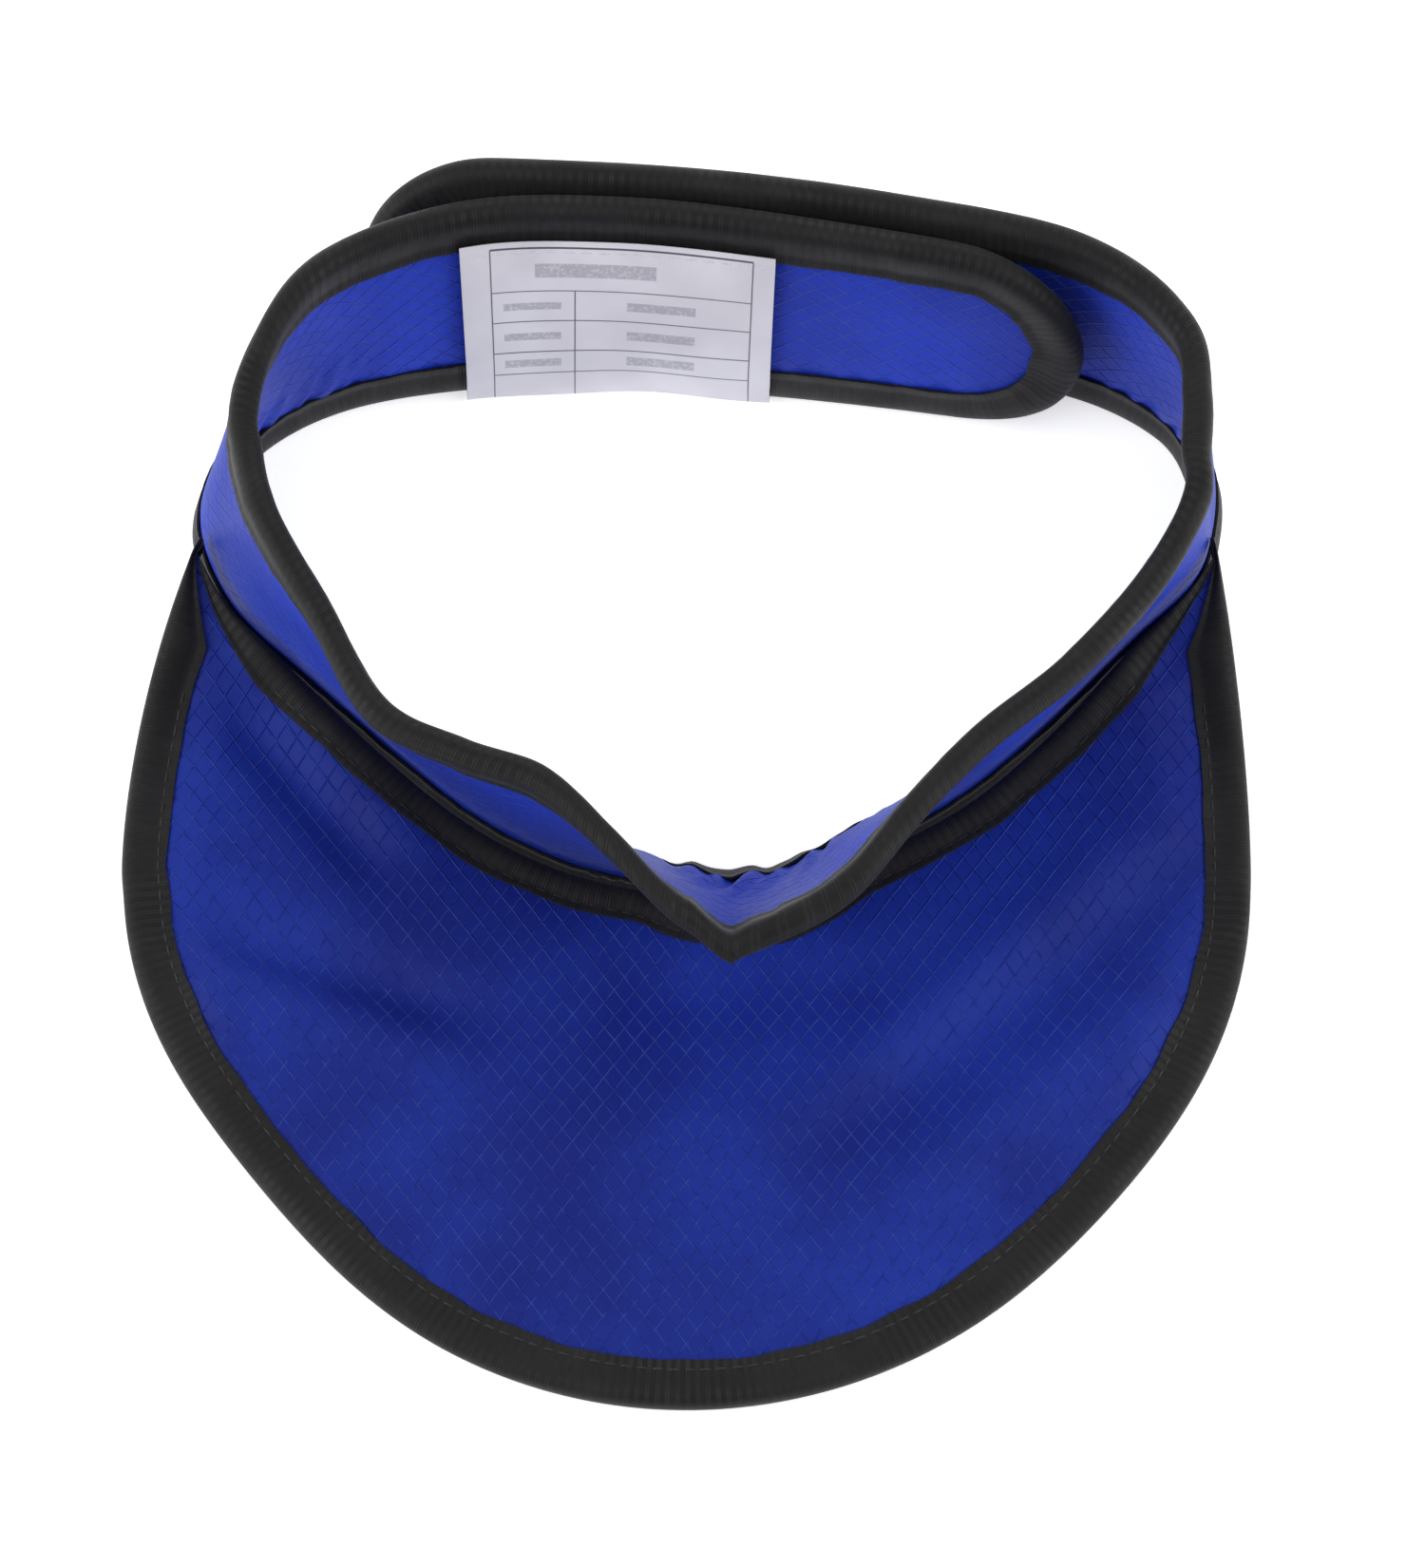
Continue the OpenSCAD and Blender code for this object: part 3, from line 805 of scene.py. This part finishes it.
pieces = {}
for half, (way, _) in HALVES.items():
    edge = EDGES[half]
    cover = dress(orient(band_sheet(f"band_cover_{half}", way, 1)), "band_cloth_painted_lit")
    lining = dress(orient(band_sheet(f"band_lining_{half}", way, -1)), "band_cloth_painted_lit")
    lead = dress(orient(band_lead(f"band_lead_sheet_{half}", way)), "lead")
    tape = dress(orient(binding(f"band_binding_{half}", edge, 20 + way, v_gathers(edge),
                                 plump=BAND_PLUMP)), "binding")
    thread = make(f"band_stitching_{half}", *stitches(edge, (1, -1)))
    thread = dress(orient(thread), "thread")
    pieces[half] = (cover, lining, lead, tape, thread)

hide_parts("front_shell", "left_arm_shell")
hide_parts("right_arm_shell")
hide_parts("front_lining", "left_arm_lining")
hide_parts("right_arm_lining")
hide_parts("front_lead_sheet", "left_arm_lead_sheet")
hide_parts("right_arm_lead_sheet")
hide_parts("front_hem_binding", "left_arm_binding")
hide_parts("front_top_binding", "right_arm_binding")
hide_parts("front_hem_thread", "left_arm_thread")
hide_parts("front_top_thread", "right_arm_thread")
for half, (way, blend) in HALVES.items():
    for piece in pieces[half]:
        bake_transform(piece)
    cover, lining, lead, tape, thread = pieces[half]


# ---------------------------------------------------------------- pieces of the bib

RIM = rim_line()
NECK = neck_line()
HORN_PLAIN = 26 * MM      # no stitches show this near a horn's tip
END_ROUND = 2.5 * MM      # the bib's bindings close over this distance at a horn's tip
rim_edge = BibEdge(RIM, NECK, 1, TAPE_W, 0.66)
neck_edge = BibEdge(NECK, RIM, -1, NECK_TAPE_W, 0.3)


def bib_grid(inset, columns, rows):
    """Places of the bib between its neck edge and its outer edge, both inset."""
    t = np.linspace(0.005, 0.995, columns)
    lines = []
    for edge in (neck_edge, rim_edge):
        d = t * edge.length
        share = np.interp(d, edge.d, edge.share)
        lines.append(np.stack([np.interp(d, edge.d, edge.line[:, k])
                               + inset * share * np.interp(d, edge.d, edge.inwards[:, k])
                               for k in (0, 1)], axis=-1))
    v = np.linspace(0, 1, rows)[None, :, None]
    return lines[0][:, None] * (1 - v) + lines[1][:, None] * v


def nearest_edge(places):
    """Each place's distance in from the bib's nearest sewn edge."""
    flat = places.reshape(-1, 2)
    lines = np.vstack([RIM[::3], NECK[::4]])
    out = np.concatenate([np.linalg.norm(part[:, None] - lines[None], axis=2).min(axis=1)
                          for part in np.array_split(flat, 40)])
    return out.reshape(places.shape[:-1])


def bib_sheet(name, side):
    """The bib's cover cloth (side 1) or its lining (side -1)."""
    places = bib_grid(1.1 * MM, 360, 84)
    inside = nearest_edge(places)
    around = np.arctan2(places[..., 0], -(places[..., 1] - BIB_CENTRE_Y)) * BIB_R
    off = puff(inside, around, side)
    x, y = places[..., 0], places[..., 1]
    front, back = bib(x, y, side * off), bib(x, y, side * (off - CLOTH_T))
    return thin_solid(name, front, back, places)


def bib_lead(name):
    places = bib_grid(4 * MM, 150, 40)
    x, y = places[..., 0], places[..., 1]
    return thin_solid(name, bib(x, y, 0.85 * MM), bib(x, y, -0.85 * MM), places)


bib_cover = dress(orient(bib_sheet("bib_cover", 1)), "bib_cloth")
bib_lining = dress(orient(bib_sheet("bib_lining_cloth", -1)), "bib_cloth")
bib_core = dress(orient(bib_lead("bib_lead_core")), "lead")
rim_tape = dress(orient(binding("bib_rim_binding", rim_edge, 41, closed=END_ROUND)), "binding")
neck_tape = dress(orient(binding("bib_neck_tape", neck_edge, 47, closed=END_ROUND)), "binding")
rim_thread = dress(orient(make("bib_rim_stitching", *stitches(rim_edge, (1, -1), HORN_PLAIN,
                   rim_edge.length - HORN_PLAIN))), "thread")
neck_thread = dress(orient(make("bib_neck_stitching", *stitches(neck_edge, (1, -1), HORN_PLAIN,
                    neck_edge.length - HORN_PLAIN))), "thread")
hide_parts("bib_shell")
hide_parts("bib_lining")
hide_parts("bib_lead_sheet")
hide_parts("bib_edge_binding")
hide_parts("bib_neck_binding")
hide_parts("bib_edge_thread")
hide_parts("bib_neck_thread")
for piece in (bib_cover, bib_lining, bib_core, rim_tape, neck_tape, rim_thread, neck_thread):
    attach(piece, "bib")


# ---------------------------------------------------------------- fastening tapes and label

TAPE_LOW = 14 * MM
TAPE_H = 20 * MM
LOOP_S = (s_at(0.6), s_at(3.1))
HOOK_S = (s_at(26.7), s_at(29.2))


def tape_sheet(name, span, near, far, fuzz):
    """A fastening tape on the band, with its outer face a little uneven."""
    s, up = np.meshgrid(np.linspace(*span, 130), np.linspace(TAPE_LOW, TAPE_LOW + TAPE_H, 40),
                        indexing="ij")
    rng = np.random.default_rng(8)
    rough = rng.normal(0, fuzz, s.shape)
    edge = np.minimum(np.minimum(s - span[0], span[1] - s),
                      np.minimum(up - TAPE_LOW, TAPE_LOW + TAPE_H - up))
    drop = 0.35 * MM * (1 - smoothstep(edge, 0, 1.2 * MM))
    sign = np.sign(far)
    front = wall(s, up, far - sign * drop + rough * (edge > 0.4 * MM))
    back = wall(s, up, near + 0 * s)
    return thin_solid(name, front, back, np.stack([s, up], axis=-1))


def tape_stitches(span, off, face):
    """Stitch rows along a fastening tape's two long sides."""
    class Row(Edge):
        def __init__(self, up):
            self.up = up
            self.length = span[1] - span[0]

        def at(self, d, inside, off_):
            return wall(span[0] + d, self.up + inside, off_)
    parts = [stitches(Row(up), (face,), inside=0.0, off=off)
             for up in (TAPE_LOW + 2 * MM, TAPE_LOW + TAPE_H - 2 * MM)]
    shift = len(parts[0][0])
    faces = parts[0][1] + [[v + shift for v in f] for f in parts[1][1]]
    return np.concatenate([p[0] for p in parts]), faces, np.concatenate([p[2] for p in parts])


def hooks(span, off):
    """Rows of little hooks that stand on the hook tape."""
    s, up = np.meshgrid(np.arange(span[0] + 1.5 * MM, span[1] - 1.5 * MM, 1.6 * MM),
                        np.arange(TAPE_LOW + 3.2 * MM, TAPE_LOW + TAPE_H - 3 * MM, 1.3 * MM),
                        indexing="ij")
    s, up = s.ravel(), up.ravel()
    bend = np.radians([0, 0, 40, 95, 150])
    along_hook = np.array([0, 0, 0.10, 0.26, 0.34]) * MM
    high = np.array([-0.1, 0.22, 0.40, 0.44, 0.30]) * MM
    turn = np.arange(4) * math.pi / 2
    r = 0.07 * MM
    d = (s[:, None, None] + along_hook[None, :, None]
         + r * np.cos(turn)[None, None] * np.cos(bend)[None, :, None])
    h = (high[None, :, None] + r * np.cos(turn)[None, None] * np.sin(-bend)[None, :, None])
    across = up[:, None, None] + r * np.sin(turn)[None, None] + 0 * d
    points = wall(d, across, -(off + h))
    per = grid_faces(5, 4, wrap=True)
    faces = []
    for k in range(len(s)):
        base = k * 20
        faces += [list(q + base) for q in per]
        faces += [[base + 3, base + 2, base + 1, base], [base + 16, base + 17, base + 18, base + 19]]
    return points.reshape(-1, 3), faces, np.stack([d, across], axis=-1).reshape(-1, 2)


loop = dress(orient(tape_sheet("loop_tape_pile", LOOP_S, 1.5 * MM, 2.3 * MM, 0.05 * MM)),
             "loop")
hook_base = tape_sheet("hook_tape_base", HOOK_S, -1.5 * MM, -2.1 * MM, 0.02 * MM)
hook_parts = make("hooks", *hooks(HOOK_S, 2.1 * MM))
hook = dress(orient(join([hook_base, hook_parts], "hook_tape_hooks")), "hook")
loop_thread = dress(orient(make("loop_tape_stitches", *tape_stitches(LOOP_S, 2.25 * MM, 1))),
                    "thread")
hook_thread = dress(orient(make("hook_tape_stitches", *tape_stitches(HOOK_S, 2.1 * MM, -1))),
                    "thread")
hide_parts("loop_tape")
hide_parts("hook_tape")
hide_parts("loop_tape_thread")
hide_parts("hook_tape_thread")
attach(loop, "left_arm")
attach(loop_thread, "left_arm")
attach(hook, "right_arm")
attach(hook_thread, "right_arm")

LABEL_S = s_at(2.92)      # the label's middle on the band's line
LABEL_W = 54 * MM
LABEL_L = 36 * MM
LABEL_TOP = BAND_H - TAPE_W - 0.4 * MM
LABEL_OFF = 3.0 * MM      # how far the label hangs from the band's middle layer


def label_strip(name):
    """A strip folded double: down in front, round the fold, and up behind."""
    down = np.concatenate([np.linspace(-1.2 * MM, LABEL_L - 0.6 * MM, 40),
                           LABEL_L - 0.6 * MM + 0.6 * MM * np.sin(np.linspace(0.3, 2.84, 7)),
                           np.linspace(LABEL_L - 0.6 * MM, 0.5 * MM, 30)])
    layer = np.concatenate([0.45 * np.ones(40), 0.45 * np.cos(np.linspace(0.3, 2.84, 7)),
                            -0.45 * np.ones(30)]) * MM
    length = np.concatenate([[0], np.cumsum(np.hypot(np.diff(down), np.diff(layer)))])
    across = np.linspace(-LABEL_W / 2, LABEL_W / 2, 60)
    x, t = np.meshgrid(across, np.arange(len(down)), indexing="ij")
    drop, deep = down[t], layer[t]
    free = smoothstep(drop, 0, LABEL_L)
    curl = 0.8 * MM * free * waves(x + 0.4 * drop, 60 * MM, 77)
    pinch = smoothstep(drop, 0, 3 * MM)
    deep = deep * (0.35 + 0.65 * pinch)

    def at(extra):
        return wall(LABEL_S + x, np.maximum(LABEL_TOP - drop, 0.3 * MM),
                    -(LABEL_OFF + deep + extra + curl))
    uv = np.stack([-x, -length[t] - 1.2 * MM], axis=-1)
    return thin_solid(name, at(0.09 * MM * np.sign(layer[t] + 1e-9)),
                      at(-0.09 * MM * np.sign(layer[t] + 1e-9)), uv)


label = dress(orient(label_strip("folded_label")), "label")
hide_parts("label")
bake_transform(label)


class LabelRow(Edge):
    """The row of stitches that holds the label's top edge."""
    length = LABEL_W - 2 * MM

    def at(self, d, inside, off):
        return wall(LABEL_S - self.length / 2 + d, LABEL_TOP - 1.2 * MM + inside, off)


label_row = make("label_stitching", *stitches(LabelRow(), (-1,), inside=0.0,
                 off=LABEL_OFF + 0.3 * MM))
label_row = dress(orient(label_row), "white_thread")
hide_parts("label_thread")
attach(label_row, "left_arm")


SEAM_FROM = s_at(13.6)
SEAM_TO = s_at(18.2)
SEAM_UP = 4.6 * MM


class SeamRow(Edge):
    """The row of stitches that sews the bib to the middle of the hem."""
    length = SEAM_TO - SEAM_FROM

    def at(self, d, inside, off):
        return wall(SEAM_FROM + d, SEAM_UP + inside, off)


seam = make("centre_seam_stitching", *stitches(SeamRow(), (1,), inside=0.0, off=2.25 * MM))
seam = dress(orient(seam), "thread")
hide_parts("centre_seam_thread")
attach(seam, "front")


# ---------------------------------------------------------------- floor, light and camera

def floor_look():
    n = Nodes("floor")
    shade = n.mix(n.noise(3, 2), colour(250, 250, 250), colour(255, 255, 255))
    return n.finish(shade, 0.9, Specular_IOR_Level=0.1, Emission_Color=(1, 1, 1, 1),
                    Emission_Strength=0.6)


floor = make("floor", [(-3, -3, -0.0002), (3, -3, -0.0002), (3, 3, -0.0002), (-3, 3, -0.0002)],
             [(0, 1, 2, 3)])
floor.data.materials.append(floor_look())


def area_light(name, place, size, power, target=(0, 0, 0.02)):
    light = bpy.data.lights.new(name, "AREA")
    light.shape = "RECTANGLE"
    light.size, light.size_y = size
    light.energy = power
    obj = bpy.data.objects.new(name, light)
    bpy.context.scene.collection.objects.link(obj)
    obj.location = place
    aim = np.array(target) - np.array(place)
    obj.rotation_euler = Vector(aim).to_track_quat("-Z", "Y").to_euler()
    return obj


area_light("left softbox", (-1.2, -0.3, 0.75), (1.0, 1.0), 13)
area_light("right softbox", (1.2, -0.3, 0.75), (1.0, 1.0), 12)
area_light("back softbox", (0.0, 1.5, 0.9), (1.6, 0.9), 11)
area_light("top softbox", (0.0, -0.2, 1.6), (1.4, 1.4), 3.5)

world = bpy.data.worlds.new("studio")
world.use_nodes = True
world.node_tree.nodes["Background"].inputs["Color"].default_value = (1, 1, 1, 1)
world.node_tree.nodes["Background"].inputs["Strength"].default_value = 0.24
bpy.context.scene.world = world
bpy.context.scene.view_settings.view_transform = "Standard"

VIEW_ANGLE = math.radians(66)
VIEW_DISTANCE = 6.0
FRAME_H = 0.275           # height that the picture covers at the collar
AIM = (0.0046, 0.0092, 0.0)
camera_data = bpy.data.cameras.new("camera")
camera_data.sensor_fit = "VERTICAL"
camera_data.sensor_height = 24
camera_data.lens = 24 * VIEW_DISTANCE / FRAME_H
camera = bpy.data.objects.new("camera", camera_data)
bpy.context.scene.collection.objects.link(camera)
camera.location = (AIM[0], AIM[1] - VIEW_DISTANCE * math.cos(VIEW_ANGLE),
                   AIM[2] + VIEW_DISTANCE * math.sin(VIEW_ANGLE))
camera.rotation_euler = (math.pi / 2 - VIEW_ANGLE, 0, 0)
bpy.context.scene.camera = camera
